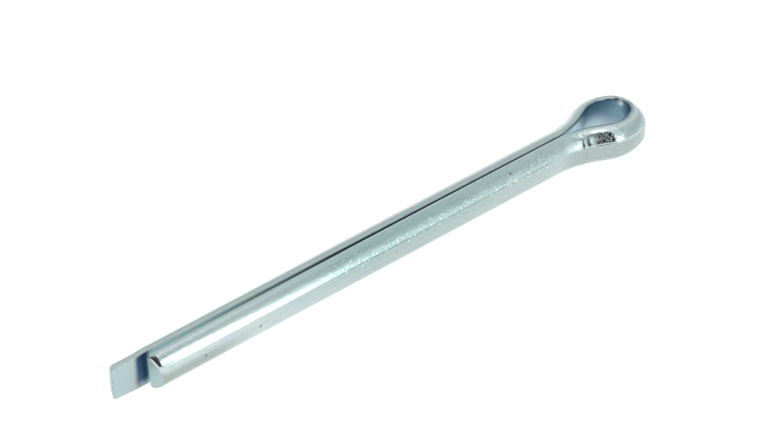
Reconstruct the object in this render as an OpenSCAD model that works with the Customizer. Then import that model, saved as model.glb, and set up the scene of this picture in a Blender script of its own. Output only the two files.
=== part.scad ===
// Split pin (cotter pin) folded from one length of half-round steel wire.
//
// +X runs along the shank towards the eye and +Z is up. The origin is on the
// axis of the shank, at the neck, where the legs start to part round the eye.
// The long leg lies on the +Y side and the short leg on the -Y side. One side
// is drawn, from a leg's tip round to the end of the eye, and then mirrored.

/* [Wire] */
// Height of the half-round section along its flat face, with sharp corners
wire_h = 4.65; // [4:0.05:5.4]
// Thickness of the section, from the flat face to the full round of the crown
wire_t = 1.95; // [1.5:0.05:2.2]
// Width of the flat band that the rolls leave along the crown
crown_flat_w = 1.6; // [1:0.1:2]
// Radius that rounds both corners of the flat face
corner_r = 0.28; // [0.15:0.01:0.45]

/* [Legs] */
// Length of the short leg, from the neck to its tip
short_leg_len = 56; // [32:1:90]
// How far the long leg runs on past the tip of the short one
prong_len = 4.3; // [2:0.1:8]
// Gap between the two flat faces at the neck
neck_gap = 0.16; // [0.08:0.02:0.5]
// Gap between the two flat faces at the tip of the short leg
tip_gap = 0.56; // [0.1:0.02:1.2]

/* [Tips] */
// Angle of the slanting cut that leaves each flat face longest
mitre_angle = 28; // [0:1:40]
// Size of the bevels at the top and bottom corners of each tip
tip_bevel = 0.8; // [0.2:0.05:1.2]

/* [Eye] */
// Inside radius of the bend that parts the legs at the neck
neck_r = 10.5; // [7:0.25:14]
// Angle between the pin's axis and each side of the eye, past the neck
flare_angle = 27.2; // [22:0.1:34]
// Length of the straight side between the neck bend and the shoulder
flare_len = 1.15; // [0.5:0.05:3]
// Inside radius of the shoulder, where the eye is widest
shoulder_r = 3.5; // [2.5:0.1:5]
// Angle between the pin's axis and the short straight past the shoulder
closing_angle = 26.5; // [15:0.5:35]
// Length of the short straight between the shoulder and the end of the eye
closing_len = 0.25; // [0.1:0.05:1]
// Thickness of the wire where it is stretched round the end of the eye
end_t = 1.48; // [1.2:0.02:1.6]
// Plan radius of the stretched crown at the end of the eye
end_crown_r = 5; // [4.6:0.1:6.5]

/* [Forming marks] */
// How far round the neck bend the forming die's edge leaves a nick
die_nick_angle = 15.5; // [8:0.5:24]
// Depth of that nick
die_nick_depth = 0.12; // [0.04:0.01:0.2]
// Radius of the die's edge that leaves the nick
die_nick_r = 0.5; // [0.2:0.05:1]

/* [Hidden] */

$fn = 96;
margin = 1;
// Straight lengths are this much slimmer than the bends, and run on into
// them, so that no two surfaces of the joined wire lie in the same place.
slim = 0.01;
run_on = 0.1;

// Section: a flat-topped crown arc over a flat face, with rounded corners.
half_h = wire_h / 2;
crown_r = (half_h * half_h + wire_t * wire_t) / (2 * wire_t);
crown_x = wire_t - crown_r;
crown_flat_x = crown_x + sqrt(pow(crown_r, 2) - pow(crown_flat_w / 2, 2));
corner_z = sqrt(pow(crown_r - corner_r, 2) - pow(corner_r - crown_x, 2));
corner_angle = atan2(corner_z, corner_r - crown_x);

// Legs: both flat faces lean out by the same small angle.
lean_angle = asin((tip_gap - neck_gap) / 2 / short_leg_len);
long_leg_len = short_leg_len + prong_len;

// Path of the flat face round the eye, one point where each stretch starts.
neck_end = [neck_r * sin(flare_angle),
            neck_gap / 2 + neck_r * (1 - cos(flare_angle))];
flare_end = neck_end + flare_len * [cos(flare_angle), sin(flare_angle)];
shoulder_c = flare_end + shoulder_r * [sin(flare_angle), -cos(flare_angle)];
shoulder_end = shoulder_c + shoulder_r * [sin(closing_angle), cos(closing_angle)];
closing_end = shoulder_end + closing_len * [cos(closing_angle), -sin(closing_angle)];
end_r = closing_end[1] / cos(closing_angle);
end_cx = closing_end[0] - end_r * sin(closing_angle);
eye_end_x = end_cx + end_r + end_t;

// The section in its own plane: x outwards from the flat face, y up. An
// inset draws its outline that much inside the full one.
module wire_section(inset = 0) {
    reach = 2 * crown_r;
    rim = [crown_x + reach * cos(corner_angle), reach * sin(corner_angle)];
    intersection() {
        translate([crown_x, 0]) circle(r = crown_r - inset);
        polygon([[corner_r, corner_z], rim, [crown_x + reach, rim[1]],
                 [crown_x + reach, -rim[1]], [rim[0], -rim[1]],
                 [corner_r, -corner_z]]);
        translate([0, -half_h]) square([crown_flat_x - inset, wire_h]);
    }
    translate([inset, -corner_z]) square([corner_r - inset, 2 * corner_z]);
    for (side = [-1, 1])
        translate([corner_r, side * corner_z]) circle(r = corner_r - inset);
}

// A straight length of wire that starts at a point and heads along an angle,
// and runs on into the bends at the ends that it has one at.
module straight_wire(start, heading, len, before = run_on, after = run_on) {
    translate([start[0], start[1], 0])
        rotate([0, 0, heading]) rotate([90, 0, 90])
            translate([0, 0, -before])
                linear_extrude(height = before + len + after) wire_section(slim);
}

// A bend with the flat face inside, between two angles about a centre.
module bend_round_flat(centre, r, from_angle, sweep) {
    translate([centre[0], centre[1], 0]) rotate([0, 0, from_angle])
        rotate_extrude(angle = sweep) translate([r, 0]) wire_section();
}

// A bend with the crown inside, between two angles about a centre.
module bend_round_crown(centre, r, from_angle, sweep) {
    translate([centre[0], centre[1], 0]) rotate([0, 0, from_angle])
        rotate_extrude(angle = sweep) translate([r, 0])
            mirror([1, 0]) wire_section();
}

// What the shears take off a leg's tip: the mitre and the corner bevels.
module tip_cut() {
    block = 4 * wire_h;
    rotate([0, 0, -mitre_angle]) {
        translate([-block, -block / 2, -block / 2]) cube(block);
        for (side = [-1, 1])
            translate([0, 0, side * half_h]) rotate([0, 45, 0])
                cube([tip_bevel * sqrt(2), block, tip_bevel * sqrt(2)], center = true);
    }
}

// A leg on the +Y side, from the neck to a mitred tip.
module leg(len) {
    translate([0, neck_gap / 2, 0]) rotate([0, 0, -lean_angle])
        difference() {
            straight_wire([-len, 0], 0, len, before = 0);
            translate([-len, 0, 0]) tip_cut();
        }
}

// Half of the eye on the +Y side, from the neck to the short closing straight.
module eye_side() {
    bend_round_crown([0, neck_gap / 2 + neck_r], neck_r, -90, flare_angle);
    straight_wire(neck_end, flare_angle, flare_len);
    bend_round_flat(shoulder_c, shoulder_r, 90 - closing_angle,
                    flare_angle + closing_angle);
    straight_wire(shoulder_end, -closing_angle, closing_len);
}

// The rounded end of the eye, which joins both sides.
module eye_end() {
    bend_round_flat([end_cx, 0], end_r, closing_angle - 90, 180 - 2 * closing_angle);
}

// Room for the eye: its crown is thinner where the wire is stretched round
// the end, and everything else lies inside this shape.
module stretched_envelope() {
    envelope_cx = eye_end_x - end_crown_r;
    rotate_centre = end_crown_r - crown_r;
    translate([envelope_cx, 0, 0]) rotate_extrude() {
        intersection() {
            translate([rotate_centre, 0]) circle(r = crown_r);
            translate([rotate_centre, -crown_r]) square([crown_r, 2 * crown_r]);
        }
        translate([0, -crown_r]) square([rotate_centre, 2 * crown_r]);
    }
    translate([-margin, -2 * wire_h, -wire_h])
        cube([envelope_cx + margin, 4 * wire_h, 2 * wire_h]);
}

// What the die's edge presses out of the +Y side, across the neck bend.
module die_nick() {
    nick_cy = die_nick_r - die_nick_depth - (neck_r - crown_flat_x);
    translate([0, neck_gap / 2 + neck_r, 0]) rotate([0, 0, die_nick_angle])
        translate([0, nick_cy, 0])
            cylinder(r = die_nick_r, h = 2 * wire_h, center = true);
}

module split_pin() {
    color([0.72, 0.77, 0.78]) {
        leg(long_leg_len);
        mirror([0, 1, 0]) leg(short_leg_len);
        difference() {
            intersection() {
                union() {
                    eye_side();
                    mirror([0, 1, 0]) eye_side();
                    eye_end();
                }
                stretched_envelope();
            }
            die_nick();
            mirror([0, 1, 0]) die_nick();
        }
    }
}

split_pin();
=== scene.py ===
import math

import bpy
import numpy as np
from mathutils import Matrix, Vector


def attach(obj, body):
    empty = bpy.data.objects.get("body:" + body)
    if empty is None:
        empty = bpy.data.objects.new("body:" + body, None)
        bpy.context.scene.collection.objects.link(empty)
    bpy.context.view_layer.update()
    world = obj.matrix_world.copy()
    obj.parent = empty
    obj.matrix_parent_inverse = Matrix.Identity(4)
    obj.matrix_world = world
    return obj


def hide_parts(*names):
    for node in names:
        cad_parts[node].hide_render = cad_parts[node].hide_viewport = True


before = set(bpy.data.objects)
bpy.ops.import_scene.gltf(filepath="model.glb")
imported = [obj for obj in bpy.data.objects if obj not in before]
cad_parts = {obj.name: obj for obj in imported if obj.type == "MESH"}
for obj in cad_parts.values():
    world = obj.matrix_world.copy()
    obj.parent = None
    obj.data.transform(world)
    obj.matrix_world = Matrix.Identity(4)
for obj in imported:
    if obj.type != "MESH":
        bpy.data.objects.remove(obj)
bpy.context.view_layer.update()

# The pin lies along X, with the eye at +X, the short near leg at -Y and the long far leg at +Y.
# Lengths are in mm until they reach Blender. Widths named RUN or EDGE are of soft passages.
MM = 0.001

# ------------------------------------------------------------ wire's sizes
WIRE_H = 4.65           # height of the section, before its corners are rounded
WIRE_T = 1.95           # from the flat face to the crown, before its flat band
CORNER_R = 0.28         # between the flat face and the crown
WORN_R = 0.42           # of the corners on top, towards the tips
WORN_SPAN = -58, -8     # along the wire, from fully worn to not worn
FLAT_W = 1.6            # of the flat band along the crown
BAND_EDGE = 0.02
NECK_GAP = 0.16
TIP_GAP = 0.42
GAP_LEN = 56            # over which the gap between the legs widens
SHORT_LEG = 56.02
LONG_LEG = 60.29
NECK_R, FLARE_DEG, FLARE_LEN = 10.5, 27.2, 1.15
SHOULDER_R, CLOSING_DEG, CLOSING_LEN = 3.5, 26.5, 0.25
END_T = 1.47            # the wire's thickness at the end of the eye

# The die's edge leaves a burr and a step across the crown of each limb.
NICK_DEG = 15.5         # how far round the neck's bend
NICK_BURR, BURR_RUN = 0.115, 0.42
NICK_STEP, STEP_RUN = 0.055, 0.9
NICK_EDGE = 0.07
NICK_TILT, TILT_RUN = 0.07, 2.4     # of the near limb's flat band beside it

# The rolls leave a fine line along both edges of the flat band. It is deeper,
# with a lip, where the die pressed.
ROLL_LINE, PRESSED_LINE, LINE_W = 0.008, 0.032, 0.06
PRESSED_LIP, LIP_PLACE, LIP_W = 0.014, 0.14, 0.07

# The far rim keeps a burr inside the eye: its height, and where it is along the wire and up.
RIM_BURR, RIM_BURR_S, RIM_BURR_Z = 0.12, 11.1, 1.85
INSIDE_A = 2.2          # the angle round the wire past which a point faces into the eye

# How much thicker than plain each limb is rolled, against the distance from the neck.
FAR_FULLNESS = [-60, -56, -25, 0, 3.5, 6], [-0.2, -0.2, 0.3, 0.45, 0.15, 0]
NEAR_FULLNESS = [-56, -25, 0, 3.5, 6], [-0.02, -0.13, -0.24, 0.04, 0]

crown_r = ((WIRE_H / 2) ** 2 + WIRE_T ** 2) / (2 * WIRE_T)
crown_x = WIRE_T - crown_r
corner_z = math.sqrt((crown_r - CORNER_R) ** 2 - (CORNER_R - crown_x) ** 2)
corner_a = math.atan2(corner_z, CORNER_R - crown_x)
flat_x = crown_x + math.sqrt(crown_r ** 2 - (FLAT_W / 2) ** 2)
flat_a = math.asin(FLAT_W / 2 / crown_r)
half_height = corner_z + CORNER_R


def smooth(x, low, high):
    """0 up to low, 1 from high on, and an even curve between."""
    t = np.clip((np.asarray(x, float) - low) / (high - low), 0, 1)
    return t * t * (3 - 2 * t)


def bell(x, centre, width):
    return np.exp(-((np.asarray(x, float) - centre) / width) ** 2)


# ------------------------------------------------------------- wire's path
# Distance runs along the flat face from 0 at the neck to the end of the eye;
# it is negative on the legs.
flare, closing = math.radians(FLARE_DEG), math.radians(CLOSING_DEG)
neck_end = np.array([NECK_R * math.sin(flare), NECK_GAP / 2 + NECK_R * (1 - math.cos(flare))])
flare_end = neck_end + FLARE_LEN * np.array([math.cos(flare), math.sin(flare)])
shoulder_c = flare_end + SHOULDER_R * np.array([math.sin(flare), -math.cos(flare)])
closing_end = (shoulder_c + SHOULDER_R * np.array([math.sin(closing), math.cos(closing)])
               + CLOSING_LEN * np.array([math.cos(closing), -math.sin(closing)]))
end_r = closing_end[1] / math.cos(closing)
end_x = closing_end[0] - end_r * math.sin(closing) + end_r

lean = math.asin((TIP_GAP - NECK_GAP) / 2 / GAP_LEN)
bends = [  # length, turn
    (NECK_R * flare, flare), (FLARE_LEN, 0.0),
    (SHOULDER_R * (flare + closing), -(flare + closing)), (CLOSING_LEN, 0.0),
    (end_r * (math.pi / 2 - closing), closing - math.pi / 2)]
eye_len = sum(b[0] for b in bends)
NICK_S = NECK_R * math.radians(NICK_DEG)
FLARE_S = bends[0][0]
SHOULDER_S = FLARE_S + FLARE_LEN
CLOSING_S = SHOULDER_S + bends[2][0]

STEP = 0.004                    # between the points that the path is worked out at
EASE, EASE_STEPS = 0.2, 150     # over which one bend passes into the next
PATH_START, PATH_PAST = -64.0, 3    # before the long leg's tip, and past the end of the eye
grid = np.arange(PATH_START, eye_len + PATH_PAST, STEP)
heading = np.where(grid < 0, -lean, 0.0)
start, turned = 0.0, 0.0
for length, turn in bends:
    inside = (grid >= start) & (grid < start + length)
    heading[inside] = turned + turn * (grid[inside] - start) / length
    start, turned = start + length, turned + turn
past = grid >= eye_len
heading[past] = -math.pi - np.interp(2 * eye_len - grid[past], grid, heading)
ease = np.exp(-(np.arange(-EASE_STEPS, EASE_STEPS + 1) * STEP / EASE) ** 2 / 2)
heading = np.convolve(np.pad(heading, EASE_STEPS, mode="edge"), ease / ease.sum(), "valid")
at_end = int(np.argmin(np.abs(grid - eye_len)))
midway = (heading[1:] + heading[:-1]) / 2
run_x = np.concatenate([[0], np.cumsum(np.cos(midway)) * STEP])
run_y = np.concatenate([[0], np.cumsum(np.sin(midway)) * STEP])
path_x = end_x + run_x - run_x[at_end]
path_y = run_y - run_y[at_end]


# ---------------------------------------------------------- wire's section
CROWN_FINE, CROWN_COARSER = 0.028, 0.11     # between points by the band's edges, and how much more elsewhere


def spread(low, high, size):
    """Values from low to high, spaced by about size(x) at x."""
    fine = np.linspace(low, high, 20001)
    density = 1 / size(fine)
    total = np.concatenate([[0], np.cumsum((density[1:] + density[:-1]) / 2 * (fine[1] - fine[0]))])
    count = int(math.ceil(total[-1]))
    return np.interp(np.linspace(0, total[-1], count + 1), total, fine)


def crown_size(a):
    """The angle between points on the crown, which are finer by the edges of the flat band."""
    off_edge = np.minimum(np.abs(a - flat_a), np.abs(a + flat_a)) * crown_r
    return (CROWN_FINE + CROWN_COARSER * smooth(off_edge, 0.06, 0.5)) / crown_r


crown_angles = spread(-corner_a, corner_a, crown_size)[::-1]


def section(top_r):
    """Angles and outline around the wire, for one radius of the corner on top.

    They go from the middle of the flat face, over the top corner and the
    crown, and back under the bottom corner.
    """
    top_z = math.sqrt((crown_r - top_r) ** 2 - (top_r - crown_x) ** 2)
    top_a = math.atan2(top_z, top_r - crown_x)
    bend = 0.8      # the crown's points shift only above this angle
    crown = np.where(crown_angles < bend, crown_angles,
                     bend + (crown_angles - bend) * (top_a - bend) / (corner_a - bend))
    top = np.linspace(math.pi, top_a, 9)[:-1]
    low = -np.linspace(math.pi, corner_a, 8)[:-1][::-1]
    up = np.linspace(0, top_z, 7)[:-1]
    down = -np.linspace(0, corner_z, 7)[1:-1][::-1]
    a = np.concatenate([np.full(len(up), math.pi), top, crown, low, np.full(len(down), -math.pi)])
    o = np.concatenate([0 * up, top_r * (1 + np.cos(top)), crown_x + crown_r * np.cos(crown),
                        CORNER_R * (1 + np.cos(low)), 0 * down])
    z = np.concatenate([up, top_z + top_r * np.sin(top), crown_r * np.sin(crown),
                        -corner_z + CORNER_R * np.sin(low), down])
    return a, o, z


angle, section_o, section_z = section(CORNER_R)
_, worn_o, worn_z = section(WORN_R)
on_crown = np.abs(angle) <= corner_a + 1e-9
n_round = len(angle)
normal_o = np.cos(angle)
normal_z = np.sin(angle)


def flattened(tilt):
    """The section with its flat band, whose top edge stands proud by the tilt."""
    level = flat_x + tilt * (0.5 + section_z / FLAT_W)
    flat = level - BAND_EDGE * np.log1p(np.exp((level - section_o) / BAND_EDGE))
    return np.where(on_crown, flat, section_o)


# ------------------------------------------------------------ wire's sides
LEG_STEP, NECK_FINER = 0.24, 0.14       # between rings, and how much less at the neck
EYE_STEP, END_STEP, NICK_FINE, TIP_STEP = 0.075, 0.06, 0.03, 0.12
TIP_ZONE = 5.5          # behind a tip, over which the rings turn square to the wire


def station_size(s):
    leg = LEG_STEP - NECK_FINER * smooth(s, -3, 0.5)
    size = np.where(s < SHOULDER_S, leg, EYE_STEP)
    size = np.where(s > CLOSING_S, END_STEP, size)
    return size - (size - NICK_FINE) * bell(s, NICK_S + 0.1, 0.35)


class Side:
    """One half of the wire, from a leg's tip to the end of the eye."""

    def __init__(self, sign, leg_len, fullness):
        self.sign = sign
        self.near = sign < 0
        self.leg_len = leg_len

        def size(s):
            plain = station_size(s)
            return plain - (plain - TIP_STEP) * (1 - smooth(s + leg_len, 4, 7))

        self.s = spread(-leg_len, eye_len, size)
        self.fullness = 1 + np.interp(self.s, *fullness) / WIRE_T


def displacement(side, s, a):
    """How far the surface stands proud of the plain sweep."""
    d = np.zeros(np.broadcast(s, a).shape)
    pressed = smooth(s, NICK_S + 0.2, NICK_S + 0.8) * (1 - smooth(s, SHOULDER_S + 0.1, SHOULDER_S + 1.0))
    for edge in (flat_a, -flat_a):
        across = (a - edge) * crown_r
        d -= (ROLL_LINE + PRESSED_LINE * pressed) * bell(across, 0.0, LINE_W)
        d += PRESSED_LIP * pressed * bell(across, LIP_PLACE, LIP_W)
    if not side.near:
        rim_burr = bell(s, RIM_BURR_S, 0.2) * bell(section_z[None, :], RIM_BURR_Z, 0.22)
        d += RIM_BURR * rim_burr * (np.abs(a) > INSIDE_A)
    past_nick = (s - NICK_S) * (NECK_R - flat_x) / NECK_R
    before = past_nick < 0
    edge = np.exp(-(past_nick / NICK_EDGE) ** 2)
    burr = np.where(before, np.exp(np.minimum(past_nick, 0) / BURR_RUN), edge)
    step = np.where(before, edge, np.exp(-np.maximum(past_nick, 0) / STEP_RUN))
    on_top = smooth(corner_a - np.abs(a), -0.1, 0.15) * (1 - smooth(np.abs(a), 0.75, 1.05))
    d += on_top * (NICK_BURR * burr * (1 - 0.4 * smooth(np.abs(a), 0.3, 0.9)) - NICK_STEP * step)
    return d


def wire_side(side):
    """Rings along one side: distance along the wire, off the flat face, and height."""
    s = side.s[:, None]
    turned_in = -np.degrees(np.interp(side.s, grid, heading))
    bend = np.where(side.s > FLARE_S, smooth(turned_in, 20, 90), 0)[:, None]
    thin = (1 - (1 - END_T / WIRE_T) * bend) * side.fullness[:, None]
    worn = 1 - smooth(s, *WORN_SPAN)
    banded = flattened(NICK_TILT * bell(s, NICK_S, TILT_RUN) * side.near)
    # The flat band ends where the eye bends round.
    o = (banded + (worn_o - section_o) * worn + (section_o - banded) * bend) * thin
    z = section_z + (worn_z - section_z) * worn
    d = displacement(side, s, angle[None, :])
    return s + 0 * d, o + d * normal_o, z + d * normal_z


SWAY = [-56, -30, 0], [0.03, -0.02, 0.0]    # how far the legs bend to the near side
PRONG_SET = 0.12            # how far the long leg's free end is set over to that side
PRONG_SET_SPAN = -57.8, -55.8
PRONG_RISE = 0.34           # how far its lower edge rises to its end
RISE_START, RISE_LEN = -55.0, 5.3


def place(side, s, o, z):
    """Straight wire coordinates to the folded pin's."""
    h = np.interp(s, grid, heading)
    px = np.interp(s, grid, path_x)
    py = np.interp(s, grid, path_y)
    y = side.sign * (py + np.cos(h) * o) - np.interp(s, *SWAY)
    if not side.near:
        y -= PRONG_SET * (1 - smooth(s, *PRONG_SET_SPAN))
        z = z + PRONG_RISE * np.clip((RISE_START - s) / RISE_LEN, 0, 1) * smooth(-z, 0.3, 2.2)
    return np.stack([px - np.sin(h) * o, y, z], -1)


# ------------------------------------------------------------------- tips
FAR_MITRE = math.tan(math.radians(28))
NEAR_MITRE, MITRE_TWIST = 0.46, 0.28    # its slope at the bottom, and how much less at the top
NEAR_SLANT, FAR_SLANT = 0.09, 0.02      # how the cut leans outwards towards its top
CORE = np.array([0.62, -0.35])          # a point within the end face
# Where the flat end face stops: a point on each line, and the line's outward normal.
NEAR_LIMITS = [((0.0, 1.55), (0.44, 0.898)), ((1.40, 0.0), (1.0, 0.0)), ((1.1, -2.16), (0.35, -0.94))]
FAR_LIMITS = [((0.0, 1.85), (0.25, 0.97)), ((1.30, 0.0), (1.0, 0.0)), ((0.0, -1.85), (0.10, -0.995))]
FACE_INSET = 0.05                       # at the least, from the leg's side
# How far the sheared edge is drawn down: the near one, and how much more at its top; the far one
# at its top and at its bottom.
NEAR_DRAWN, NEAR_DRAWN_TOP = 0.05, 0.07
FAR_DRAWN_TOP, FAR_DRAWN_LOW = 0.12, 0.10
DRAWN_SLOPE = math.radians(38)          # of the part that is drawn down
CREASE_R, CREASE_DRAWN = 0.08, 0.42     # the bend where it starts, for an edge drawn down this far
SPINE_O = 0.66                          # of the upright line that the end face closes on
CLOSING_RINGS = 0.06, 0.16, 0.34, 0.56, 0.8     # how far each one is from its edge to that line


def anchors(side, o0, z0):
    """Where the flat end face stops, for each point around the section."""
    base = np.stack([o0 - FACE_INSET * normal_o, z0 - FACE_INSET * normal_z], -1)
    ray = base - CORE
    reach = np.ones(n_round)
    for point, out in NEAR_LIMITS if side.near else FAR_LIMITS:
        out = np.array(out) / np.hypot(*out)
        room = (np.array(point) - CORE) @ out
        going = ray @ out
        reach = np.where(going > 1e-9, np.minimum(reach, room / np.maximum(going, 1e-9)), reach)
    return CORE + ray * reach[:, None]


def tip_rings(side, o0, z0):
    """Where the leg's side stops, and rings from there on to the end face, as (s, o, z)."""
    anchor = anchors(side, o0, z0)

    def cut(o, z):
        if side.near:
            mitre, slant = NEAR_MITRE - MITRE_TWIST * smooth(z, -0.4, 1.3), NEAR_SLANT
        else:
            mitre, slant = FAR_MITRE, FAR_SLANT
        return -side.leg_len + np.maximum(o, 0) * mitre - slant * z

    run = np.hypot(o0 - anchor[:, 0], z0 - anchor[:, 1])
    if side.near:
        drawn = (NEAR_DRAWN + NEAR_DRAWN_TOP * smooth(z0, 0.4, 1.5)) * smooth(run, 0.2, 0.45)
    else:
        drawn = FAR_DRAWN_TOP * smooth(z0, 1.2, 2.0) + FAR_DRAWN_LOW * smooth(-z0, 1.4, 2.0)
    drawn = np.minimum(drawn, 0.7 * run)
    # Down a crease and a flat slope, then round a tight arc into the end face.
    crease_r = CREASE_R * np.sqrt(drawn / CREASE_DRAWN)
    crease_in = crease_r * (1 - math.cos(DRAWN_SLOPE))
    crease_on = crease_r * math.sin(DRAWN_SLOPE)
    slope_in = (drawn - crease_in).clip(0)
    slope_on = slope_in / math.tan(DRAWN_SLOPE)
    tight = run - np.maximum(drawn, crease_in)
    tight_on = np.maximum(tight, 0.05) * (1 - math.sin(DRAWN_SLOPE)) / math.cos(DRAWN_SLOPE)
    length = crease_on + slope_on + tight_on
    stations = []   # how far in from the side, and how far back from the cut
    for turn in np.linspace(0.2, 1, 5) * DRAWN_SLOPE:
        stations.append((crease_r * (1 - math.cos(turn)), length - crease_r * math.sin(turn)))
    stations.append((run - tight - slope_in * 0.5, tight_on + slope_on * 0.5))
    for turn in np.linspace(DRAWN_SLOPE, math.pi / 2, 9):
        stations.append((run - tight * math.cos(turn) / math.cos(DRAWN_SLOPE),
                         tight_on * (1 - math.sin(turn)) / (1 - math.sin(DRAWN_SLOPE))))
    rings = []
    for inset, depth in stations:
        f = inset / np.maximum(run, 1e-6)
        o = o0 + (anchor[:, 0] - o0) * f
        z = z0 + (anchor[:, 1] - z0) * f
        rings.append((cut(o, z) + depth, o, z))
    spine = np.stack([np.full(n_round, SPINE_O), np.clip(anchor[:, 1] * 0.6, -1.0, 0.4)], -1)
    for f in CLOSING_RINGS:
        p = anchor + (spine - anchor) * f
        rings.append((cut(p[:, 0], p[:, 1]), p[:, 0], p[:, 1]))
    return cut(o0, z0) + length, rings


def build_side(side):
    """All rings of one side, from the middle of its end face to the end of the eye."""
    s, o, z = wire_side(side)
    first, rings = tip_rings(side, o[0], z[0])
    f = np.clip((s + side.leg_len) / TIP_ZONE, 0, 1)
    s = np.where(f < 1, first[None, :] + (TIP_ZONE - side.leg_len - first[None, :]) * f, s)
    return [np.concatenate([[ring[k] for ring in rings[::-1]], values]) for k, values in enumerate((s, o, z))]


def make_pin():
    """The pin, and for each point its place on the straight wire, its angle, and 1 on an end face."""
    stores = [], [], [], []
    for side in (Side(1, LONG_LEG, FAR_FULLNESS), Side(-1, SHORT_LEG, NEAR_FULLNESS)):
        s, o, z = build_side(side)
        cap = np.zeros(s.shape)
        cap[:1 + len(CLOSING_RINGS)] = 1
        unfolded = np.stack([(eye_len - s) * side.sign, o, z], -1)
        parts = [place(side, s, o, z), unfolded, np.broadcast_to(angle, s.shape), cap]
        if side.near:  # runs back from the end of the eye, whose ring is shared
            parts = [part[::-1][1:] for part in parts]
        for store, part in zip(stores, parts):
            store.append(part)
    points, straight, angles, caps = (np.concatenate(store) for store in stores)
    n_rings = len(points)
    j, i = np.meshgrid(np.arange(n_rings - 1), np.arange(n_round), indexing="ij")
    k = (i + 1) % n_round
    quads = np.stack([j * n_round + i, (j + 1) * n_round + i,
                      (j + 1) * n_round + k, j * n_round + k], -1).reshape(-1, 4)
    first = list(range(n_round))
    last = [(n_rings - 1) * n_round + corner for corner in first]
    mesh = bpy.data.meshes.new("split_pin_wire")
    mesh.from_pydata((points.reshape(-1, 3) * MM).tolist(), [], quads.tolist() + [first, last[::-1]])
    mesh.validate()
    mesh.update()
    mesh.shade_smooth()
    attribute = mesh.attributes.new("wire_co", "FLOAT_VECTOR", "POINT")
    attribute.data.foreach_set("vector", straight.astype(np.float32).ravel())
    obj = bpy.data.objects.new("split_pin_wire", mesh)
    bpy.context.scene.collection.objects.link(obj)
    return obj, straight.reshape(-1, 3), angles.ravel(), caps.ravel()


pin, straight, angles, caps = make_pin()


# ------------------------------------------------------------------ paint
# Masks for the material, one value a point. Distances along the wire are from
# the neck, and negative on the legs. Heights are in half widths of the flat band.
along = eye_len - np.abs(straight[:, 0])
near = straight[:, 0] < 0
up = straight[:, 2]
height = up / (FLAT_W / 2)
off_top = np.abs(angles)            # 0 on the crown, pi on the flat face
side_wall = 1 - caps
crown_mask = smooth(corner_a + 0.15 - off_top, 0, 0.3)
flat_mask = smooth(off_top, math.pi - 0.8, math.pi - 0.25)
band = 1 - smooth(off_top, flat_a - 0.03, flat_a + 0.03)
near_crown = near * crown_mask


def paint(name, values):
    attribute = pin.data.attributes.new(name, "FLOAT", "POINT")
    attribute.data.foreach_set("value", np.asarray(values, np.float32).ravel())


def between(low, low_end, high, high_end):
    """1 along the wire from low_end to high, fading to 0 at low and at high_end."""
    return smooth(along, low, low_end) * (1 - smooth(along, high, high_end))


paint("cap", caps)
# The plate's grain is coarser towards the neck.
grain = np.where(near, smooth(along, -44, -26), 0.45 * smooth(along, -52, -30))
paint("grain", np.clip(grain * (1 - 0.55 * band), 0, 1) * side_wall)
# Painted light: the flat faces in the slit glow at its open end, standing in for white light from the floor
# that comes in there.
in_slit = np.where(near, 1.0, smooth(along, -56.0, -55.2)) * (1 - smooth(along, -1, 1))
glow = np.interp(along, [-56, -50, -42, -32, -10], [1.5, 1.2, 0.6, 0.08, 0.04])
paint("glow", flat_mask * in_slit * glow * side_wall)
# Painted shade, dark blue, on the flat faces in the slit and beside the short leg's tip, less towards their
# bottom and paler on the long leg's free end.
prong = 0.12 + 0.88 * smooth(along, -57.65, -56.9) * (1 - 0.6 * smooth(along, -55.8, -54.5))
flat_face_shade = np.where(near, 1.0, prong) * (1 - 0.55 * smooth(-up, 1.0, 1.9))
paint("flat_face_shade", flat_mask * flat_face_shade * (1 - smooth(along, 0, 2)) * side_wall)
# The rounded corners are duller.
rounded = smooth(off_top, corner_a - 0.25, corner_a + 0.1) * (1 - smooth(off_top, 2.6, 3.1))
dull = np.where(near, smooth(along, -55.6, -54.5), 1 - 0.8 * smooth(along, 6, 9))
paint("corner", rounded * side_wall * dull)
# The die leaves the near flare bright, with a duller ring round an oval patch.
polish = near_crown * between(0.8, 3.0, 8.2, 9.6) * (1 - band)
paint("polish", polish)
oval = ((along - 4.7) / 1.85) ** 2 + ((angles - 0.45) / 0.62) ** 2
ring = smooth(oval, 0.8, 1.25) * (1 - smooth(oval, 1.6, 2.4))
paint("frost", polish * ring * smooth(along, 2.9, 3.3) * smooth(angles, 0.45, 0.7))
# Painted shade on the eye's inner flat faces, least towards their lower edge, and painted reflected light, a
# paler cyan, on them by the neck, a little on the long leg's free end and on the end faces.
eye_inside_shade = 0.15 + 0.85 * smooth(up, -1.6, 1.3) + 0.5 * smooth(along, CLOSING_S - 1.5, CLOSING_S + 1.0)
paint("eye_inside_shade", flat_mask * smooth(along, 2.5, 6.0) * np.clip(eye_inside_shade, 0, 1))
cyan_sheen = 0.6 * between(0.5, 2.5, 5.5, 9.5) + 0.14 * (1 - smooth(along, -58.5, -57.5))
paint("cyan_sheen", flat_mask * cyan_sheen * ~near * side_wall + 0.12 * caps)
# Painted shade: dark lines along the eye's rims, except at its end.
rim = bell(angles, np.where(near, 1.95, 2.5), 0.5) * smooth(along, 0.5, 2.5)
rim = rim * (1 - 0.8 * smooth(along, 8.0, 9.5))
paint("rim", np.where(near, 0.95, 0.6) * rim)
# Darker, greener colour on the near leg's crown, most towards its top and about 28 mm from the neck, less
# towards the tip and the eye.
greener_top = np.interp(along, [-44, -28, -20, -8, 2], [0, 1, 0.9, 0.5, 0.25])
paint("greener_top", near_crown * greener_top * np.interp(height, [-1.5, -0.6, 0.3, 1.5], [0.25, 0.3, 0.8, 1.0]))
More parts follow.
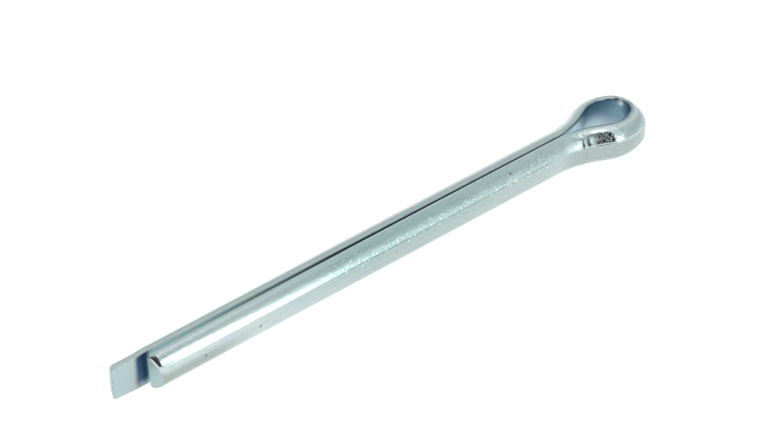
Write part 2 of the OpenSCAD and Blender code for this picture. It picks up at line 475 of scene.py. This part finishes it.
# Painted glints: white spots along the near leg and on the eye's far rim, and the burr there painted white as
# a glint.
grain_glints = near_crown * between(-38, -30, -3, 1) * np.interp(height, [0.3, 0.9, 1.6, 2.4], [0.0, 1.0, 0.8, 0.1])
paint("glint_paint", grain_glints + ~near * bell(angles, 2.2, 0.35) * smooth(along, 5, 8))
burr = bell(along, RIM_BURR_S, 0.24) * bell(up, RIM_BURR_Z, 0.26) * (off_top > INSIDE_A)
paint("burr", ~near * np.clip(2.0 * burr, 0, 1))
# Painted highlight: a pale line along the near leg's top corner, and along the eye's near side.
highlight_line = bell(angles, 1.95, 0.4) * between(-38, -15, 0, 2) + 0.6 * bell(angles, 1.08, 0.13) * smooth(along, 1, 3)
paint("highlight_line", 0.8 * near * highlight_line)
# Darker colour: painted shade low on the near leg, where it reflects its own shadow on the floor, and on the
# flat faces; darker also on the far leg and round the eye.
tipward = 1 - smooth(along, -50, -43)
low = tipward * (1 - smooth(height, -0.5, 0.9)) * (1 - 0.2 * smooth(-height, 1.0, 1.6))
low = low + (1 - tipward) * np.interp(along, [-43, -36, -26], [0.16, 0.2, 0.46])
shade = np.where(near, low * smooth(1.3 - height, 0, 0.5), 0.25)
shade = np.where(flat_mask > 0.5, 0.45, shade) * (1 - smooth(along, -4, 2))
shade = shade + 0.4 * smooth(along, SHOULDER_S + 1, CLOSING_S + 1) * (1 - flat_mask)
under = near_crown * smooth(1.25 - height, 0, 0.6) * smooth(along, -3, 2)
paint("shade", np.maximum(shade, 0.85 * under) * side_wall)
# A score line along the upper edge of the near leg's flat band.
paint("scored", 0.6 * near * bell((angles - flat_a) * crown_r, 0.05, 0.07) * between(-36, -28, -3, 0))


# -------------------------------------------------------------- materials
class Tree:
    """Short calls for building a node tree."""

    def __init__(self, material):
        material.use_nodes = True
        self.nodes = material.node_tree.nodes
        self.links = material.node_tree.links
        self.nodes.clear()

    def add(self, kind, inputs=(), **settings):
        node = self.nodes.new("ShaderNode" + kind)
        for key, value in settings.items():
            setattr(node, key, value)
        for key, value in dict(inputs).items():
            if isinstance(value, bpy.types.NodeSocket):
                self.links.new(value, node.inputs[key])
            else:
                node.inputs[key].default_value = value
        return node

    def surface(self, inputs):
        shader = self.add("BsdfPrincipled", inputs)
        out = self.add("OutputMaterial")
        self.links.new(shader.outputs[0], out.inputs["Surface"])

    def attr(self, name, out="Fac"):
        return self.add("Attribute", attribute_name=name).outputs[out]

    def times(self, a, b):
        return self.add("Math", {0: a, 1: b}, operation="MULTIPLY").outputs[0]

    def plus(self, a, b):
        return self.add("Math", {0: a, 1: b}, operation="ADD").outputs[0]

    def line(self, x, slope, start):
        return self.add("Math", {0: x, 1: slope, 2: start}, operation="MULTIPLY_ADD").outputs[0]

    def stretched(self, co, x, across):
        return self.add("Mapping", {"Vector": co, "Scale": (x, across, across)}).outputs["Vector"]

    def noise(self, co, scale, detail=2.0, rough=0.5):
        return self.add("TexNoise", {"Vector": co, "Scale": scale, "Detail": detail,
                                     "Roughness": rough}).outputs["Fac"]

    def ramp(self, fac, low, high):
        return self.add("MapRange", {"Value": fac, "From Min": low, "From Max": high},
                        interpolation_type="SMOOTHSTEP").outputs["Result"]

    def mix(self, fac, base, colour):
        """A colour laid over the base by fac."""
        return self.add("Mix", {0: fac, 6: base, 7: (*colour, 1)}, data_type="RGBA").outputs[2]


FILM_GREEN, FILM_LILAC = (0.58, 0.69, 0.655), (0.58, 0.665, 0.70)
FLECK_PALE, FLECK_DARK = (0.72, 0.77, 0.73), (0.44, 0.53, 0.56)
MOTTLE_PALE, MOTTLE_DARK = (0.66, 0.68, 0.75), (0.27, 0.45, 0.44)
STREAK_DARK = (0.34, 0.42, 0.45)
WHITE, BARE = (1, 1, 1), (0.10, 0.12, 0.13)
SLIT_GLOW = (0.135, 0.205, 0.195, 1)
# Painted masks and their colours, under the mottle and the streaks, and over them. The grey, the dark blue,
# the deeper blue and the dark rim colour are painted shade; the cyan is painted reflected light and the pale
# colour is a painted highlight.
UNDER_COATS = [("greener_top", (0.37, 0.53, 0.51)), ("shade", (0.385, 0.445, 0.425))]
OVER_COATS = [("scored", (0.12, 0.20, 0.22)), ("highlight_line", (0.92, 1, 1)), ("flat_face_shade", (0.055, 0.112, 0.195)),
              ("cyan_sheen", (0.38, 0.74, 0.86)), ("eye_inside_shade", (0.19, 0.31, 0.40)), ("rim", (0.05, 0.08, 0.10))]
# How much rougher a painted mask makes the plate.
ROUGHENED = [("corner", 0.28), ("cap", 0.45), ("burr", 0.3)]
# Bare specks in the plate: distance along the wire from the eye's end, and the two across it.
PITS = (-61.82, 1.77, -0.2), (-54.7, 1.75, -0.2), (-19.7, 1.08, 1.74)


def zinc_plate():
    material = bpy.data.materials.new("zinc_plate")
    t = Tree(material)
    co = t.attr("wire_co", "Vector")
    grain = t.attr("grain")
    polish = t.attr("polish")
    # Colour: a blue passivated film that drifts between green, cyan and lilac.
    drift = t.noise(t.stretched(co, 0.25, 0.9), 1.0, 3.0)
    fleck = t.noise(t.stretched(co, 2.2, 3.2), 1.0, 3.0, 0.6)
    base = t.mix(t.ramp(drift, 0.35, 0.65), (*FILM_GREEN, 1), FILM_LILAC)
    base = t.mix(t.times(t.ramp(fleck, 0.5, 0.8), 0.5), base, FLECK_PALE)
    base = t.mix(t.times(t.ramp(fleck, 0.5, 0.2), 0.5), base, FLECK_DARK)
    for name, colour in UNDER_COATS:
        base = t.mix(t.attr(name), base, colour)
    mottle = t.noise(t.stretched(co, 3.4, 4.6), 1.0, 2.0, 0.6)
    base = t.mix(t.times(t.ramp(mottle, 0.5, 0.75), t.line(grain, 0.35, 0.1)), base, MOTTLE_PALE)
    base = t.mix(t.times(t.ramp(mottle, 0.5, 0.25), t.line(grain, 0.4, 0.1)), base, MOTTLE_DARK)
    streaks = t.noise(t.stretched(co, 0.16, 7.0), 1.0, 3.0, 0.65)
    base = t.mix(t.times(t.ramp(streaks, 0.5, 0.25), t.line(grain, 0.45, 0.3)), base, STREAK_DARK)
    for name, colour in OVER_COATS:
        base = t.mix(t.attr(name), base, colour)
    # Painted glints: white where the noise peaks inside the glint mask, and white on the rim burr.
    glints = t.ramp(t.noise(co, 4.2, 1.0, 0.5), 0.62, 0.72)
    base = t.mix(t.times(glints, t.attr("glint_paint")), base, WHITE)
    base = t.mix(t.attr("burr"), base, WHITE)
    for pit in PITS:
        off = t.add("VectorMath", {0: co, 1: pit}, operation="DISTANCE").outputs["Value"]
        base = t.mix(t.ramp(off, 0.16, 0.08), base, BARE)
    # Relief: the plate's grain, coarser flats, the rolls' fine draw lines, and
    # pebbles where the die polished it.
    fine = t.noise(co, 7.0, 2.0, 0.6)
    coarse = t.noise(t.stretched(co, 1.0, 1.6), 2.6, 2.0)
    lines = t.noise(t.stretched(co, 0.10, 9.0), 1.0, 2.0, 0.7)
    pebbles = t.ramp(t.noise(co, 8.0, 1.0, 0.5), 0.56, 0.66)
    relief = t.times(fine, t.line(grain, 1.35, 0.18))
    relief = t.plus(relief, t.times(coarse, t.line(grain, 0.9, 0.2)))
    relief = t.plus(relief, t.times(lines, 0.18))
    relief = t.times(relief, t.line(polish, -0.6, 1.0))
    relief = t.plus(relief, t.times(t.times(pebbles, polish), 0.40))
    bump = t.add("Bump", {"Height": relief, "Strength": 0.6, "Distance": 0.00003})
    rough = t.line(grain, 0.10, 0.16)
    rough = t.plus(rough, t.times(t.ramp(drift, 0.3, 0.7), 0.05))
    for name, amount in ROUGHENED:
        rough = t.plus(rough, t.times(t.attr(name), amount))
    rough = t.times(rough, t.line(polish, -0.78, 1.0))
    rough = t.line(t.attr("frost"), 0.36, rough)
    # The emission is painted light: the glow on the flat faces in the slit.
    t.surface({"Base Color": base, "Metallic": 1.0, "Roughness": rough,
               "Emission Color": SLIT_GLOW, "Emission Strength": t.attr("glow"),
               "Normal": bump.outputs["Normal"]})
    return material


pin.data.materials.append(zinc_plate())
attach(pin, "root")
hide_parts("split_pin")


# ------------------------------------------------------------------ stage
def flat_material(name, colour, emission):
    material = bpy.data.materials.new(name)
    Tree(material).surface({"Base Color": (*colour, 1), "Roughness": 0.9, "Emission Color": (1, 1, 1, 1),
                            "Emission Strength": emission, "Specular IOR Level": 0.0})
    return material


def card(name, corners, material):
    """A flat stage piece from its corners."""
    mesh = bpy.data.meshes.new(name)
    mesh.from_pydata([[c * MM for c in p] for p in corners], [], [list(range(len(corners)))])
    mesh.materials.append(material)
    obj = bpy.data.objects.new(name, mesh)
    bpy.context.scene.collection.objects.link(obj)
    return obj


def screen(name, y, outline, material):
    """A card that stands upright across the front; its outline is in x and z."""
    return card(name, [(x, y, z) for x, z in outline], material)


FLOOR_Z = -half_height - 0.005
FLOOR_REACH = 1500
card("floor", [(x * FLOOR_REACH, y * FLOOR_REACH, FLOOR_Z) for x, y in ((-1, -1), (1, -1), (1, 1), (-1, 1))],
     flat_material("floor_white", (0.4, 0.4, 0.4), 0.85))

softbox = flat_material("softbox", (0, 0, 0), 3.8)
dark_cloth = flat_material("dark_cloth", (0.02, 0.018, 0.016), 0.0)
brown_cloth = flat_material("brown_cloth", (0.07, 0.06, 0.05), 0.0)

front = [
    screen("strip_right", -110, [(-20, 0), (37, 0), (37, 32), (26, 42), (24, 150), (42, 200), (85, 300),
                                 (140, 420), (-60, 420), (-60, 95), (-20, 95)], softbox),
    screen("strip_middle", -112, [(-112, 3), (-48, 3), (-48, 105), (-112, 105)],
           flat_material("softbox_dim", (0, 0, 0), 1.9)),
    # Something dark between the softboxes, and more of it beside them.
    screen("dark_middle", -108, [(-48, 3), (7, 3), (8, 55), (13, 92), (22, 122), (37, 185),
                                 (46, 260), (49, 292), (22, 292), (-10, 235), (-48, 225)], dark_cloth),
    screen("dark_front", -110, [(-400, 3), (-112, 3), (-112, 400), (-400, 400)], brown_cloth),
    card("dark_left", [(-400, -110, 3), (-400, 80, 3), (-400, 80, 250), (-400, -110, 250)], brown_cloth)]
for piece in front:
    piece.visible_camera = False

world = bpy.data.worlds.new("studio")
bpy.context.scene.world = world
world.use_nodes = True
background = world.node_tree.nodes["Background"].inputs
background["Color"].default_value = (0.93, 1.0, 1.0, 1)
background["Strength"].default_value = 0.75

# ----------------------------------------------------------------- camera
AZIMUTH, ELEVATION, ROLL = -41.149, 36.286, -0.152
PX_PER_MM, DISTANCE = 9.297, 378.2
SHIFT_X, SHIFT_Y = 176.76, -66.42       # of the frame's origin from the picture's middle, px
IMAGE_W, SENSOR_W = 760, 36

az, el, roll = (math.radians(v) for v in (AZIMUTH, ELEVATION, ROLL))
forward = Vector((-math.sin(az) * math.cos(el), math.cos(az) * math.cos(el), -math.sin(el)))
level = Vector((math.cos(az), math.sin(az), 0))
upward = level.cross(forward)
right = math.cos(roll) * level + math.sin(roll) * upward
overhead = -math.sin(roll) * level + math.cos(roll) * upward
camera_data = bpy.data.cameras.new("camera")
camera_data.sensor_width = SENSOR_W
camera_data.lens = PX_PER_MM * DISTANCE * SENSOR_W / IMAGE_W
camera_data.clip_start, camera_data.clip_end = 0.01, 20
camera = bpy.data.objects.new("camera", camera_data)
seat = (-SHIFT_X / PX_PER_MM * right + SHIFT_Y / PX_PER_MM * overhead - DISTANCE * forward) * MM
facing = Matrix((right, overhead, -forward)).transposed().to_4x4()
camera.matrix_world = Matrix.Translation(seat) @ facing
bpy.context.scene.collection.objects.link(camera)
bpy.context.scene.camera = camera
bpy.context.scene.view_settings.view_transform = "Standard"
bpy.context.scene.view_settings.look = "None"
